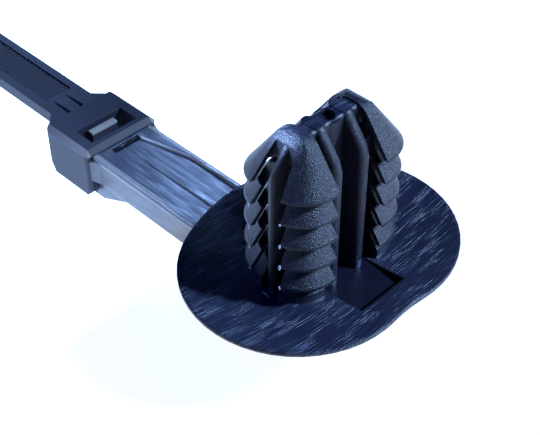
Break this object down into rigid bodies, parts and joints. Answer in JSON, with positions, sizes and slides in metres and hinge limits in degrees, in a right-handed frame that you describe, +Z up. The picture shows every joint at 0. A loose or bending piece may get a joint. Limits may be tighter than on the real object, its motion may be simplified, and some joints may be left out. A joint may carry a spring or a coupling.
{
  "type": "fir tree mount cable tie",
  "caption": "One-piece nylon cable tie whose head is carried by a neck on a dished oval disc, with a barbed oval fir tree that pushes into a panel hole.",
  "frame": {"origin": "where the tree's axis meets the upper face of the dished disc", "axes": "+Z up the tree, the way it is pushed into its panel; +X along the neck to the head and the strap; +Y along the oval"},
  "size_m": [0.1902, 0.024, 0.0205],
  "materials": {
    "nylon": "as moulded black nylon, spark-eroded on the tree and smoother on the strap"
  },
  "bodies": {
    "root": {"fir_tree_tie": "nylon"}
  },
  "joints": []
}
